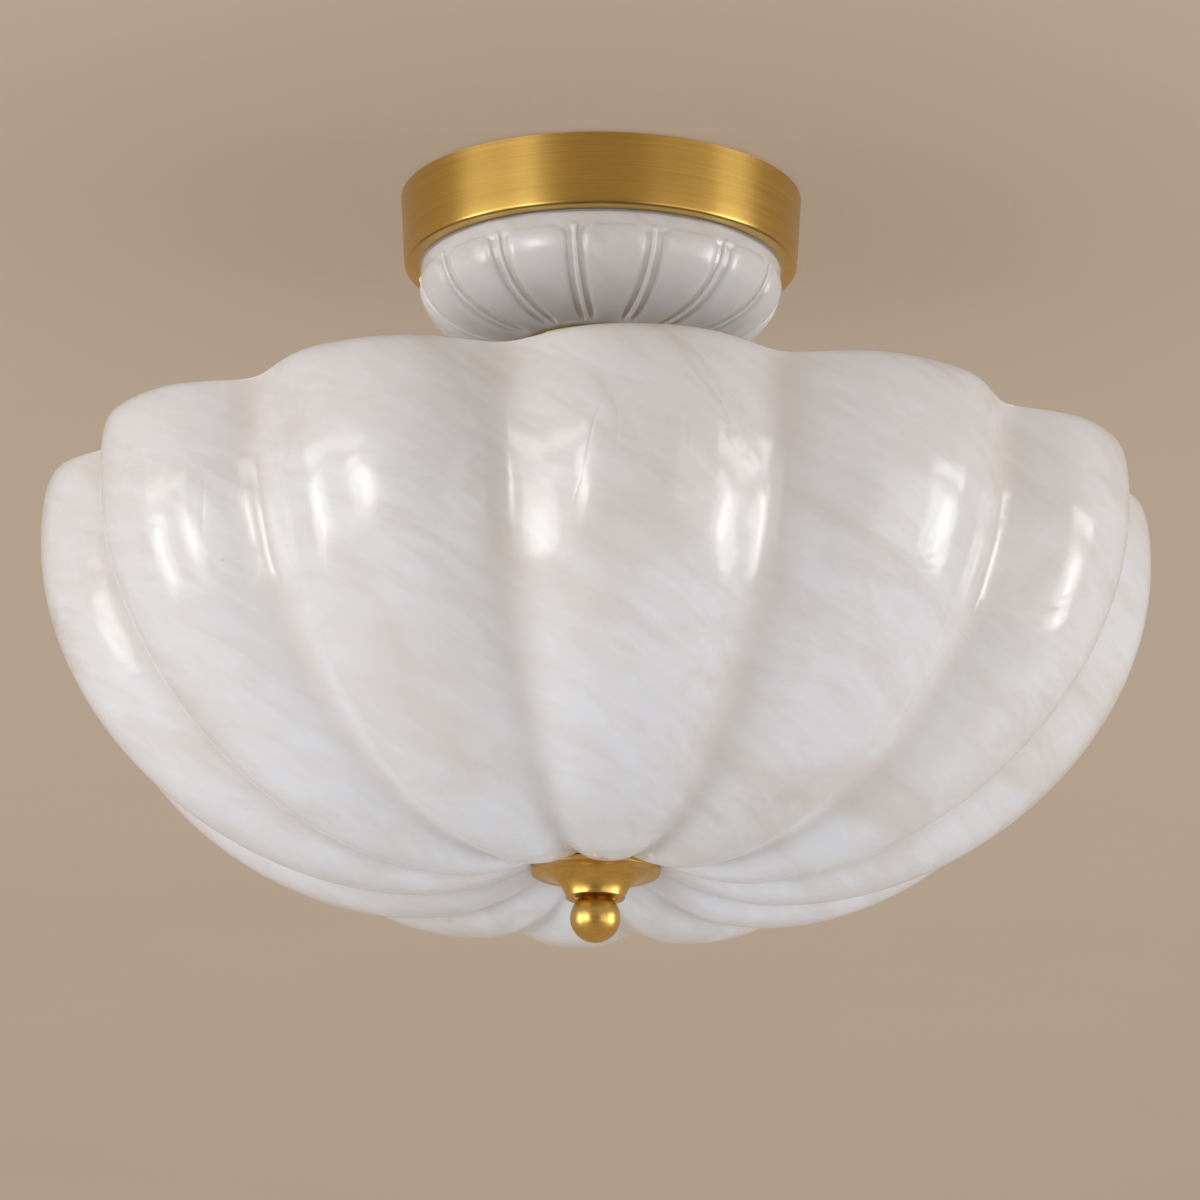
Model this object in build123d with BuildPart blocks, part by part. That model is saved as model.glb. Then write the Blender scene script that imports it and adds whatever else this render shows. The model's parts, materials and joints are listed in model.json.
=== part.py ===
from build123d import *

import os
from math import comb, cos, pi, radians, sin

# Semi-flush ceiling light: a brass canopy and a fluted stone cup against the ceiling, and a lobed stone
# bowl below them, carried by a stem, a lampholder cluster and a centre rod. Z = 0 is the ceiling.

os.makedirs("parts", exist_ok=True)

# Fits between pieces
thread_gap = 0.05
running_gap = 0.05
stem_gap = 0.6
pad_gap = 0.5

# Crossbar bracket, slotted for the two screws of a ceiling box
bracket_length = 108.0
bracket_width = 22.0
bracket_thickness = 2.0
bracket_drop = 7.0
bracket_flat = 36.0
bracket_jog = 10.0
bracket_corner = 4.0
slot_spacing = 79.4
slot_length = 14.2
slot_width = 4.6

# Ground screw in the bracket
ground_screw_offset = 13.0
ground_screw_radius = 2.0
ground_screw_above = 3.0
ground_head_radius = 4.0
ground_head_height = 2.4
ground_head_edge = 0.8
ground_slot_width = 1.0
ground_slot_depth = 0.9

# Hollow threaded nipple and its two nuts
nipple_radius = 5.0
nipple_bore = 3.5
nipple_top = -2.5
nipple_bottom = -40.0
nipple_nut_across_flats = 14.0
nipple_nut_height = 3.0
nut_edge = 0.7

# Stem
stem_radius = 6.5
stem_top = -24.0
stem_bottom = -141.0

# Canopy
canopy_radius = 76.6
canopy_lower_radius = 75.0
canopy_height = 28.5
canopy_wall = 1.2
canopy_floor = 1.5
canopy_edge_radius = 1.0

# Fluted cup under the canopy
rim_gasket_inset = 0.9
rim_gasket_width = 5.0
rim_gasket_thickness = 0.8
cup_radius = 69.4
cup_height = 31.2
cup_band = 5.0
cup_wall = 6.0
cup_flat = 30.7
cup_curve = 0.55
cup_curve_steps = 9
cup_inner_steps = 4
cup_panels = 12
cup_power_shares = (0.0, 0.0, 1.0)
flute_depth = 2.6
cup_washer_radius = 27.0
cup_washer_thickness = 0.8

# Flanged collar that holds the canopy and the cup up
collar_radius = 30.0
collar_flange = 2.0
collar_edge = 0.8
collar_hub_radius = 12.0
collar_hub_height = 5.0
collar_notches = 20
collar_notch_radius = 0.7

# Lampholder cluster
cluster_radius = 24.0
cluster_height = 25.0
cluster_wall = 2.0
cluster_floor = 2.5
cluster_edge = 2.5
lid_thickness = 2.0
lid_edge = 0.8
lid_spigot_height = 2.0
lid_spigot_wall = 1.5
lid_neck_radius = 9.5
lid_neck_height = 8.0
lid_hole_radius = 4.5
stem_seat_depth = 6.0

# Lampholders, level around the cluster and measured outwards from its centre line
lampholders = 3
first_lampholder_angle = 30.0
arm_drop = 12.5
arm_start = 19.0
arm_end = 36.0
holder_start = 30.0
holder_end = 66.0
holder_radius = 12.0
holder_back_radius = 8.0
holder_shoulder = 40.0
holder_bore = 8.5
holder_step_radius = 7.2
holder_step = 41.0
holder_floor_thickness = 1.0
holder_wire_hole = 2.5
shell_inner_radius = 6.2
shell_wall = 0.6
shell_end = 57.5
contact_radius = 6.9
contact_thickness = 0.6
contact_stud_radius = 2.0
contact_stud_height = 2.4

# Bulbs with small screw bases
base_radius = 5.9
base_tip_radius = 2.2
base_tip_length = 2.0
base_insulator_length = 2.0
base_thread_length = 13.7
base_collar_radius = 7.4
base_collar_length = 5.3
glass_wall = 1.0
glass_neck_radius = 6.6
glass_neck_length = 6.0
glass_shoulder_length = 12.0
glass_radius = 14.0
glass_length = 64.0
glass_dome_length = 14.0
glass_curve_steps = 4
glass_inner_steps = 3

# Centre rod and its nuts
rod_radius = 3.0
rod_above_nut = 1.5
rod_below_cap = 12.5
rod_nut_across_flats = 10.0
rod_nut_height = 3.0

# Lobed bowl
bowl_lobes = 12
lobe_phase = 4.8
lobe_depth = 18.0
lobe_depth_rim = 13.0
lobe_depth_bottom = 4.8
lobe_valley_rise = 5.0
lobe_rim_drop = 4.6
lobe_power_shares = (1.18, 0.64, -0.82)
bowl_radius = 210.0
bowl_widest = -141.4
bowl_lowest = -275.8
bowl_lowest_radius = 64.0
bowl_seat = -264.0
bowl_seat_radius = 25.0
bowl_hole_radius = 6.5
bowl_wall = 9.0
bowl_rim_radius = 204.3
bowl_rim = -119.2
bowl_lip_width = 9.5
bowl_lip_drop = 5.5
lip_curve = 0.6
belly_curve_across = 0.49
belly_curve_down = 0.54
belly_steps = 20
rim_steps = 4
lip_steps = 3
dimple_steps = 3
inner_belly_steps = 14

# Clamp inside the bowl and the brass under it
inner_pad_radius = 20.0
outer_pad_radius = 22.0
pad_thickness = 0.8
clamp_washer_thickness = 1.5
stop_nut_height = 3.5
cap_radius = 24.2
cap_edge_height = 2.0
cap_height = 11.2
cap_flare_radius = 22.5
cap_lip_radius = 11.0
cap_recess_radius = 8.0
cap_recess_depth = 4.0
ball_radius = 9.4
ball_below_lip = 7.5
ball_neck_radius = 5.0
ball_blind_gap = 0.5

# Levels and clearances that follow from the sizes above
bracket_underside = -bracket_drop - bracket_thickness
nipple_hole = nipple_radius + thread_gap
stem_bore = nipple_radius + thread_gap
stem_hole = stem_radius + stem_gap
cup_top = -canopy_height - rim_gasket_thickness
cup_core = stem_hole / 2
cup_bottom = cup_top - cup_height
collar_top = cup_bottom - cup_washer_thickness
lid_top = stem_bottom + stem_seat_depth - lid_neck_height
cluster_top = lid_top - lid_thickness
cluster_bottom = cluster_top - cluster_height
cluster_floor_top = cluster_bottom + cluster_floor
arm_level = cluster_top - arm_drop
rod_hole = rod_radius + thread_gap
bowl_floor = bowl_seat + bowl_wall
clamp_washer_bottom = bowl_floor + pad_thickness
stop_nut_bottom = clamp_washer_bottom + clamp_washer_thickness
cap_top = bowl_seat - pad_thickness
cap_bottom = cap_top - cap_height
cap_recess_top = cap_bottom + cap_recess_depth
ball_level = cap_bottom - ball_below_lip
rod_top = cluster_floor_top + rod_nut_height + rod_above_nut
rod_bottom = cap_bottom - rod_below_cap

# A lobed wall is sewn from narrow patches. Across a lobe the wall follows a curve of the sixth power,
# and these are the seven Bezier poles of its first, second, fourth and sixth powers, valley to valley.
across_line = (-1, -2 / 3, -1 / 3, 0, 1 / 3, 2 / 3, 1)
across_square = (1, 1 / 3, -1 / 15, -1 / 5, -1 / 15, 1 / 3, 1)
across_fourth = (1, -1 / 3, -1 / 15, 1 / 5, -1 / 15, -1 / 3, 1)
across_sixth = (1, -1, 1, -1, 1, -1, 1)


def curve_point(poles, share):
    """The place (radius, height) at a share of the way along a Bezier curve."""
    degree = len(poles) - 1
    weights = [comb(degree, n) * share**n * (1 - share) ** (degree - n) for n in range(degree + 1)]
    return tuple(sum(weight * pole[side] for weight, pole in zip(weights, poles)) for side in (0, 1))


def stepped(outline):
    """Points along an outline, which is a list of curves, each with its number of straight steps."""
    points = [outline[0][0][0]]
    for poles, steps in outline:
        points += [curve_point(poles, step / steps) for step in range(1, steps + 1)]
    return points


def lobe_row(crest, valley, lobes, turn, shares):
    """Seven poles across one lobe, whose middle is at the crest point and whose sides are in the valleys."""
    half_angle = pi / lobes
    row = []
    for line, square, fourth, sixth in zip(across_line, across_square, across_fourth, across_sixth):
        fade = shares[0] * square + shares[1] * fourth + shares[2] * sixth
        sag = valley[0] * (1 - cos(half_angle)) * square
        out = crest[0] - (crest[0] - valley[0]) * fade - sag
        side = valley[0] * sin(half_angle) * line
        height = crest[1] + (valley[1] - crest[1]) * fade
        row.append((out * cos(turn) - side * sin(turn), out * sin(turn) + side * cos(turn), height))
    return row


def lobed_solid(crest, valley, lobes, shares):
    """Closed wall between a crest outline in the middle of each lobe and a valley outline between lobes."""
    faces = []
    for lobe in range(lobes):
        turn = radians(lobe_phase - 90 + 360 / lobes * lobe)
        places = zip(stepped(crest), stepped(valley))
        rows = [lobe_row(high, low, lobes, turn, shares) for high, low in places]
        faces += [Face.make_bezier_surface([first, second]) for first, second in zip(rows, rows[1:])]
    return Solid(Shell(faces))


def bowl_outline(share):
    """Outline of the bowl's wall on a crest, where the share is 0, or in a valley, where it is 1."""
    belly = bowl_radius - lobe_depth * share
    low = bowl_lowest + lobe_depth_bottom * share
    rim_radius = bowl_rim_radius - lobe_depth_rim * share
    widest = bowl_widest + lobe_valley_rise * share
    rim = bowl_rim - lobe_rim_drop * share
    lip_radius = rim_radius - bowl_lip_width
    lip = rim - bowl_lip_drop
    inner_belly = belly - bowl_wall
    inner_low = low + bowl_wall
    dimple = (bowl_seat_radius + bowl_lowest_radius) / 2
    reach = belly_curve_across * (belly - bowl_lowest_radius)
    fall = belly_curve_down * (widest - low)
    inner_reach = belly_curve_across * (inner_belly - bowl_lowest_radius)
    inner_fall = belly_curve_down * (widest - inner_low)
    seat_point = (bowl_seat_radius, bowl_seat)
    low_point = (bowl_lowest_radius, low)
    wide_point = (belly, widest)
    rim_point = (rim_radius, rim)
    lip_point = (lip_radius, lip)
    inner_wide_point = (inner_belly, widest)
    inner_low_point = (bowl_lowest_radius, inner_low)
    floor_point = (bowl_seat_radius, bowl_floor)
    belly_poles = [
        low_point,
        (bowl_lowest_radius + reach, low),
        (belly, widest - fall),
        wide_point,
    ]
    rim_poles = [
        wide_point,
        (belly, widest + lip_curve * (rim - widest)),
        (rim_radius + lip_curve * (belly - rim_radius), rim),
        rim_point,
    ]
    lip_poles = [
        rim_point,
        (rim_radius - lip_curve * bowl_lip_width, rim),
        (lip_radius, lip + lip_curve * bowl_lip_drop),
        lip_point,
    ]
    inner_belly_poles = [
        inner_wide_point,
        (inner_belly, widest - inner_fall),
        (bowl_lowest_radius + inner_reach, inner_low),
        inner_low_point,
    ]
    return [
        ([(bowl_hole_radius, bowl_seat), seat_point], 1),
        ([seat_point, (dimple, low), low_point], dimple_steps),
        (belly_poles, belly_steps),
        (rim_poles, rim_steps),
        (lip_poles, lip_steps),
        ([lip_point, inner_wide_point], 1),
        (inner_belly_poles, inner_belly_steps),
        ([inner_low_point, (dimple, inner_low), floor_point], dimple_steps),
        ([floor_point, (bowl_hole_radius, bowl_floor)], 1),
        ([(bowl_hole_radius, bowl_floor), (bowl_hole_radius, bowl_seat)], 1),
    ]


def cup_outline(inset):
    """Outline of the cup before it is hollowed, with its fluted stretch drawn in by the inset."""
    band = cup_top - cup_band
    flute_poles = [
        (cup_radius, band),
        (cup_radius - 2 * inset, band - cup_curve * (band - cup_bottom)),
        (cup_flat + cup_curve * (cup_radius - cup_flat), cup_bottom + 2 * inset),
        (cup_flat, cup_bottom),
    ]
    return [
        ([(cup_radius, cup_top), (cup_radius, band)], 1),
        (flute_poles, cup_curve_steps),
        ([(cup_flat, cup_bottom), (cup_core, cup_bottom)], 1),
        ([(cup_core, cup_bottom), (cup_core, cup_top)], 1),
        ([(cup_core, cup_top), (cup_radius, cup_top)], 1),
    ]


def cup_hollow():
    """Outline of the space inside the cup, with the hole for the stem."""
    band = cup_top - cup_band
    inner_radius = cup_radius - cup_wall
    inner_floor = cup_bottom + cup_wall
    inner_poles = [
        (cup_flat, inner_floor),
        (cup_flat + cup_curve * (inner_radius - cup_flat), inner_floor),
        (inner_radius, band - cup_curve * (band - inner_floor)),
        (inner_radius, band),
    ]
    curve = stepped([(inner_poles, cup_inner_steps)])
    hole = [(0, cup_top), (0, cup_bottom), (stem_hole, cup_bottom), (stem_hole, inner_floor)]
    return [*hole, *curve, (inner_radius, cup_top)]


def hexagon_nut(across_flats, hole, height, bottom):
    """Hexagon nut with turned corners, standing on the level given."""
    corner = across_flats / 2 / cos(pi / 6)
    with BuildPart() as nut:
        with BuildSketch(Plane.XY.offset(bottom)):
            RegularPolygon(across_flats / 2, 6, major_radius=False)
            Circle(hole, mode=Mode.SUBTRACT)
        extrude(amount=height)
        with BuildSketch(Plane.XZ) as turned:
            with Locations((0, bottom)):
                Rectangle(corner, height, align=(Align.MIN, Align.MIN))
            chamfer(turned.vertices().group_by(Axis.X)[-1], nut_edge)
        revolve(axis=Axis.Z, mode=Mode.INTERSECT)
    return nut.part


def arm_plane(angle, distance):
    """Plane square to a lampholder's arm, at a distance from the centre line."""
    outward = Vector(cos(radians(angle)), sin(radians(angle)), 0)
    return Plane(origin=outward * distance + Vector(0, 0, arm_level), z_dir=outward)


def turned_on_arm(angle, points):
    """Piece turned about a lampholder's arm, from points of distance along the arm and radius."""
    outward = Vector(cos(radians(angle)), sin(radians(angle)), 0)
    centre = Vector(0, 0, arm_level)
    with BuildPart() as piece:
        with BuildSketch(Plane(origin=centre, x_dir=outward, z_dir=outward.cross(Vector(0, 0, 1)))):
            with BuildLine():
                Polyline(*points, close=True)
            make_face()
        revolve(axis=Axis(centre, outward))
    return piece.part


# Crossbar bracket: a pad at each end against the ceiling and a dropped middle
with BuildPart() as mounting_bracket:
    with BuildSketch(Plane.XZ.offset(-bracket_width / 2)):
        with BuildLine():
            flat = bracket_flat / 2
            pad = flat + bracket_jog
            tip = bracket_length / 2
            upper = [(pad, 0), (flat, -bracket_drop), (-flat, -bracket_drop), (-pad, 0)]
            Polyline(
                (tip, 0),
                *upper,
                (-tip, 0),
                (-tip, -bracket_thickness),
                *[(x, z - bracket_thickness) for x, z in reversed(upper)],
                (tip, -bracket_thickness),
                close=True,
            )
        make_face()
    extrude(amount=bracket_width)
    fillet(mounting_bracket.faces().filter_by(Axis.X).edges().filter_by(Axis.Z), bracket_corner)
    with BuildSketch(Plane.XY):
        with GridLocations(slot_spacing, 0, 2, 1):
            SlotOverall(slot_length, slot_width)
    extrude(amount=-bracket_thickness, mode=Mode.SUBTRACT)
    with BuildSketch(Plane.XY.offset(-bracket_drop)):
        Circle(nipple_hole)
        with Locations((-ground_screw_offset, 0)):
            Circle(ground_screw_radius + thread_gap)
    extrude(amount=-bracket_thickness, mode=Mode.SUBTRACT)
mounting_bracket.part.label = "mounting_bracket"
export_step(mounting_bracket.part, "parts/mounting_bracket.step")

# Ground screw, slotted head down
with BuildPart() as ground_screw:
    with BuildSketch(Plane.XY.offset(bracket_underside)):
        with Locations((-ground_screw_offset, 0)):
            Circle(ground_head_radius)
    extrude(amount=-ground_head_height)
    chamfer(ground_screw.edges().group_by(Axis.Z)[0], ground_head_edge)
    with BuildSketch(Plane.XY.offset(bracket_underside - ground_head_height)):
        with Locations((-ground_screw_offset, 0)):
            Rectangle(ground_slot_width, 2 * ground_head_radius)
    extrude(amount=ground_slot_depth, mode=Mode.SUBTRACT)
    with BuildSketch(Plane.XY.offset(bracket_underside)):
        with Locations((-ground_screw_offset, 0)):
            Circle(ground_screw_radius)
    extrude(amount=bracket_thickness + ground_screw_above)
ground_screw.part.label = "ground_screw"
export_step(ground_screw.part, "parts/ground_screw.step")

# Hollow nipple through the bracket and down into the stem
with BuildPart() as threaded_nipple:
    with BuildSketch(Plane.XY.offset(nipple_bottom)):
        Circle(nipple_radius)
        Circle(nipple_bore, mode=Mode.SUBTRACT)
    extrude(amount=nipple_top - nipple_bottom)
threaded_nipple.part.label = "threaded_nipple"
export_step(threaded_nipple.part, "parts/threaded_nipple.step")

# Nuts above and below the bracket
nipple_nut_levels = (-bracket_drop, bracket_underside - nipple_nut_height)
nipple_nut_pair = [
    hexagon_nut(nipple_nut_across_flats, nipple_hole, nipple_nut_height, level) for level in nipple_nut_levels
]
with BuildPart() as nipple_nuts:
    add(nipple_nut_pair)
nipple_nuts.part.label = "nipple_nuts"
export_step(nipple_nuts.part, "parts/nipple_nuts.step")

# Stem, screwed onto the nipple
with BuildPart() as stem:
    with BuildSketch(Plane.XY.offset(stem_bottom)):
        Circle(stem_radius)
        Circle(stem_bore, mode=Mode.SUBTRACT)
    extrude(amount=stem_top - stem_bottom)
stem.part.label = "stem"
export_step(stem.part, "parts/stem.step")

# Canopy, a spun pan open to the ceiling
with BuildPart() as canopy:
    with BuildSketch(Plane.XZ) as canopy_wall_sketch:
        with BuildLine():
            floor_top = canopy_floor - canopy_height
            Polyline(
                (stem_hole, -canopy_height),
                (canopy_lower_radius, -canopy_height),
                (canopy_radius, 0),
                (canopy_radius - canopy_wall, 0),
                (canopy_lower_radius - canopy_wall, floor_top),
                (stem_hole, floor_top),
                close=True,
            )
        make_face()
        lower_corner = canopy_wall_sketch.vertices().group_by(Axis.Y)[0].sort_by(Axis.X)[-1]
        fillet(lower_corner, canopy_edge_radius)
    revolve(axis=Axis.Z)
canopy.part.label = "canopy"
export_step(canopy.part, "parts/canopy.step")

# Thin gasket between the canopy and the rim of the cup
with BuildPart() as cup_rim_gasket:
    with BuildSketch(Plane.XY.offset(cup_top)):
        Circle(cup_radius - rim_gasket_inset)
        Circle(cup_radius - rim_gasket_inset - rim_gasket_width, mode=Mode.SUBTRACT)
    extrude(amount=rim_gasket_thickness)
cup_rim_gasket.part.label = "cup_rim_gasket"
export_step(cup_rim_gasket.part, "parts/cup_rim_gasket.step")

# Fluted stone cup, hollowed by a turned cut
cup_blank = lobed_solid(cup_outline(0), cup_outline(flute_depth), cup_panels, cup_power_shares)
with BuildPart() as upper_cup:
    add(cup_blank)
    with BuildSketch(Plane.XZ):
        with BuildLine():
            Polyline(*cup_hollow(), close=True)
        make_face()
    revolve(axis=Axis.Z, mode=Mode.SUBTRACT)
upper_cup.part.label = "upper_cup"
export_step(upper_cup.part, "parts/upper_cup.step")

# Washer between the cup and the collar
with BuildPart() as cup_washer:
    with BuildSketch(Plane.XY.offset(collar_top)):
        Circle(cup_washer_radius)
        Circle(stem_hole, mode=Mode.SUBTRACT)
    extrude(amount=cup_washer_thickness)
cup_washer.part.label = "cup_washer"
export_step(cup_washer.part, "parts/cup_washer.step")

# Flanged collar on the stem, with a notched hub for the fingers
with BuildPart() as collar:
    with BuildSketch(Plane.XY.offset(collar_top)):
        Circle(collar_radius)
    extrude(amount=-collar_flange)
    chamfer(collar.edges().group_by(Axis.Z)[0], collar_edge)
    with BuildSketch(Plane.XY.offset(collar_top - collar_flange)):
        Circle(collar_hub_radius)
        with PolarLocations(collar_hub_radius, collar_notches):
            Circle(collar_notch_radius, mode=Mode.SUBTRACT)
    extrude(amount=-collar_hub_height)
    with BuildSketch(Plane.XY.offset(collar_top)):
        Circle(stem_radius + running_gap)
    extrude(amount=-collar_flange - collar_hub_height, mode=Mode.SUBTRACT)
collar.part.label = "collar"
export_step(collar.part, "parts/collar.step")

# Lid of the lampholder cluster, with the neck that takes the stem
with BuildPart() as cluster_lid:
    with BuildSketch(Plane.XY.offset(cluster_top)):
        Circle(cluster_radius)
    extrude(amount=lid_thickness)
    chamfer(cluster_lid.edges().group_by(Axis.Z)[-1], lid_edge)
    with BuildSketch(Plane.XY.offset(lid_top)):
        Circle(lid_neck_radius)
    extrude(amount=lid_neck_height)
    chamfer(cluster_lid.edges().group_by(Axis.Z)[-1], lid_edge)
    spigot_radius = cluster_radius - cluster_wall - running_gap
    with BuildSketch(Plane.XY.offset(cluster_top)):
        Circle(spigot_radius)
        Circle(spigot_radius - lid_spigot_wall, mode=Mode.SUBTRACT)
    extrude(amount=-lid_spigot_height)
    with BuildSketch(Plane.XY.offset(stem_bottom)):
        Circle(stem_radius + thread_gap)
    extrude(amount=stem_seat_depth, mode=Mode.SUBTRACT)
    with BuildSketch(Plane.XY.offset(cluster_top)):
        Circle(lid_hole_radius)
    extrude(amount=stem_bottom - cluster_top, mode=Mode.SUBTRACT)
cluster_lid.part.label = "cluster_lid"
export_step(cluster_lid.part, "parts/cluster_lid.step")

# Body of the cluster, with a side hole for each lampholder
lampholder_angles = [first_lampholder_angle + 360 / lampholders * number for number in range(lampholders)]
with BuildPart() as cluster_body:
    with BuildSketch(Plane.XY.offset(cluster_bottom)):
        Circle(cluster_radius)
    extrude(amount=cluster_height)
    chamfer(cluster_body.edges().group_by(Axis.Z)[0], cluster_edge)
    with BuildSketch(Plane.XY.offset(cluster_floor_top)):
        Circle(cluster_radius - cluster_wall)
    extrude(amount=cluster_top - cluster_floor_top, mode=Mode.SUBTRACT)
    with BuildSketch(Plane.XY.offset(cluster_bottom)):
        Circle(rod_hole)
    extrude(amount=cluster_floor, mode=Mode.SUBTRACT)
    for angle in lampholder_angles:
        with BuildSketch(arm_plane(angle, arm_start)):
            Circle(nipple_hole)
        extrude(amount=cluster_radius - arm_start, mode=Mode.SUBTRACT)
cluster_body.part.label = "cluster_body"
export_step(cluster_body.part, "parts/cluster_body.step")

# Nuts above and below the cluster's floor
rod_nut_levels = (cluster_floor_top, cluster_bottom - rod_nut_height)
rod_nut_pair = [hexagon_nut(rod_nut_across_flats, rod_hole, rod_nut_height, level) for level in rod_nut_levels]
with BuildPart() as rod_nuts:
    add(rod_nut_pair)
rod_nuts.part.label = "rod_nuts"
export_step(rod_nuts.part, "parts/rod_nuts.step")

# Centre rod, from the cluster down into the finial
with BuildPart() as centre_rod:
    with BuildSketch(Plane.XY.offset(rod_bottom)):
        Circle(rod_radius)
    extrude(amount=rod_top - rod_bottom)
centre_rod.part.label = "centre_rod"
export_step(centre_rod.part, "parts/centre_rod.step")

# Places along an arm that follow from the sizes above
holder_floor = arm_end + holder_floor_thickness
contact_end = holder_floor + contact_thickness + contact_stud_height
base_tip_end = contact_end + base_tip_length
base_insulator_end = base_tip_end + base_insulator_length
base_thread_end = base_insulator_end + base_thread_length
base_end = base_thread_end + base_collar_length
glass_neck_end = base_end + glass_neck_length
glass_shoulder_end = glass_neck_end + glass_shoulder_length
glass_end = base_end + glass_length
glass_dome_start = glass_end - glass_dome_length


def glass_points(inset, steps):
    """Points of a bulb's glass from its neck to its tip, drawn in by the inset."""
    neck = glass_neck_radius - inset
    body = glass_radius - inset
    tip = glass_end - inset
    bend = glass_shoulder_length / 2
    shoulder_poles = [
        (glass_neck_end, neck),
        (glass_neck_end + bend, neck),
        (glass_shoulder_end - bend, body),
        (glass_shoulder_end, body),
    ]
    dome_poles = [
        (glass_dome_start, body),
        (glass_dome_start + glass_dome_length / 2, body),
        (tip, body / 2),
        (tip, 0),
    ]
    return stepped(
        [
            ([(base_end, neck), (glass_neck_end, neck)], 1),
            (shoulder_poles, steps),
            ([(glass_shoulder_end, body), (glass_dome_start, body)], 1),
            (dome_poles, steps),
        ]
    )


for number, angle in enumerate(lampholder_angles, 1):
    # Hollow nipple between the cluster and the lampholder
    nipple_points = [
        (arm_start, nipple_bore),
        (arm_end, nipple_bore),
        (arm_end, nipple_radius),
        (arm_start, nipple_radius),
    ]
    lampholder_nipple = turned_on_arm(angle, nipple_points)
    lampholder_nipple.label = f"lampholder_nipple_{number}"
    export_step(lampholder_nipple, f"parts/lampholder_nipple_{number}.step")

    # Insulating body with a stepped bore
    body_points = [
        (holder_start, nipple_hole),
        (holder_start, holder_back_radius),
        (arm_end, holder_back_radius),
        (holder_shoulder, holder_radius),
        (holder_end, holder_radius),
        (holder_end, holder_bore),
        (holder_step, holder_bore),
        (holder_step, holder_step_radius),
        (holder_floor, holder_step_radius),
        (holder_floor, holder_wire_hole),
        (arm_end, holder_wire_hole),
        (arm_end, nipple_hole),
    ]
    lampholder_body = turned_on_arm(angle, body_points)
    lampholder_body.label = f"lampholder_body_{number}"
    export_step(lampholder_body, f"parts/lampholder_body_{number}.step")

    # Threaded shell, whose flange rests on the step in the bore
    shell_outer_radius = shell_inner_radius + shell_wall
    shell_points = [
        (holder_step, shell_inner_radius),
        (holder_step, holder_bore - thread_gap),
        (holder_step + shell_wall, holder_bore - thread_gap),
        (holder_step + shell_wall, shell_outer_radius),
        (shell_end, shell_outer_radius),
        (shell_end, shell_inner_radius),
    ]
    lampholder_shell = turned_on_arm(angle, shell_points)
    lampholder_shell.label = f"lampholder_shell_{number}"
    export_step(lampholder_shell, f"parts/lampholder_shell_{number}.step")

    # Centre contact on the floor of the lampholder
    contact_points = [
        (holder_floor, 0),
        (holder_floor, contact_radius),
        (holder_floor + contact_thickness, contact_radius),
        (holder_floor + contact_thickness, contact_stud_radius),
        (contact_end, contact_stud_radius),
        (contact_end, 0),
    ]
    lampholder_contact = turned_on_arm(angle, contact_points)
    lampholder_contact.label = f"lampholder_contact_{number}"
    export_step(lampholder_contact, f"parts/lampholder_contact_{number}.step")

    # Screw base of the bulb
    base_points = [
        (contact_end, 0),
        (contact_end, base_tip_radius),
        (base_tip_end, base_tip_radius),
        (base_insulator_end, base_radius),
        (base_thread_end, base_radius),
        (base_thread_end, base_collar_radius),
        (base_end, base_collar_radius),
        (base_end, 0),
    ]
    bulb_base = turned_on_arm(angle, base_points)
    bulb_base.label = f"bulb_base_{number}"
    export_step(bulb_base, f"parts/bulb_base_{number}.step")

    # Opal glass of the bulb
    glass_outside = glass_points(0, glass_curve_steps)
    glass_inside = glass_points(glass_wall, glass_inner_steps)
    bulb_glass = turned_on_arm(angle, glass_outside + glass_inside[::-1])
    bulb_glass.label = f"bulb_glass_{number}"
    export_step(bulb_glass, f"parts/bulb_glass_{number}.step")

# Stop nut and washer on the rod, inside the bowl
stop_nut = hexagon_nut(rod_nut_across_flats, rod_hole, stop_nut_height, stop_nut_bottom)
stop_nut.label = "stop_nut"
export_step(stop_nut, "parts/stop_nut.step")

with BuildPart() as clamp_washer:
    with BuildSketch(Plane.XY.offset(clamp_washer_bottom)):
        Circle(inner_pad_radius)
        Circle(rod_hole, mode=Mode.SUBTRACT)
    extrude(amount=clamp_washer_thickness)
clamp_washer.part.label = "clamp_washer"
export_step(clamp_washer.part, "parts/clamp_washer.step")

# Gaskets inside and under the bowl
with BuildPart() as inner_gasket:
    with BuildSketch(Plane.XY.offset(bowl_floor)):
        Circle(inner_pad_radius)
        Circle(rod_radius + pad_gap, mode=Mode.SUBTRACT)
    extrude(amount=pad_thickness)
inner_gasket.part.label = "inner_gasket"
export_step(inner_gasket.part, "parts/inner_gasket.step")

with BuildPart() as outer_gasket:
    with BuildSketch(Plane.XY.offset(cap_top)):
        Circle(outer_pad_radius)
        Circle(rod_radius + pad_gap, mode=Mode.SUBTRACT)
    extrude(amount=pad_thickness)
outer_gasket.part.label = "outer_gasket"
export_step(outer_gasket.part, "parts/outer_gasket.step")

# Lobed stone bowl
bowl_wall_solid = lobed_solid(bowl_outline(0), bowl_outline(1), bowl_lobes, lobe_power_shares)
with BuildPart() as bowl:
    add(bowl_wall_solid)
bowl.part.label = "bowl"
export_step(bowl.part, "parts/bowl.step")

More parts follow.
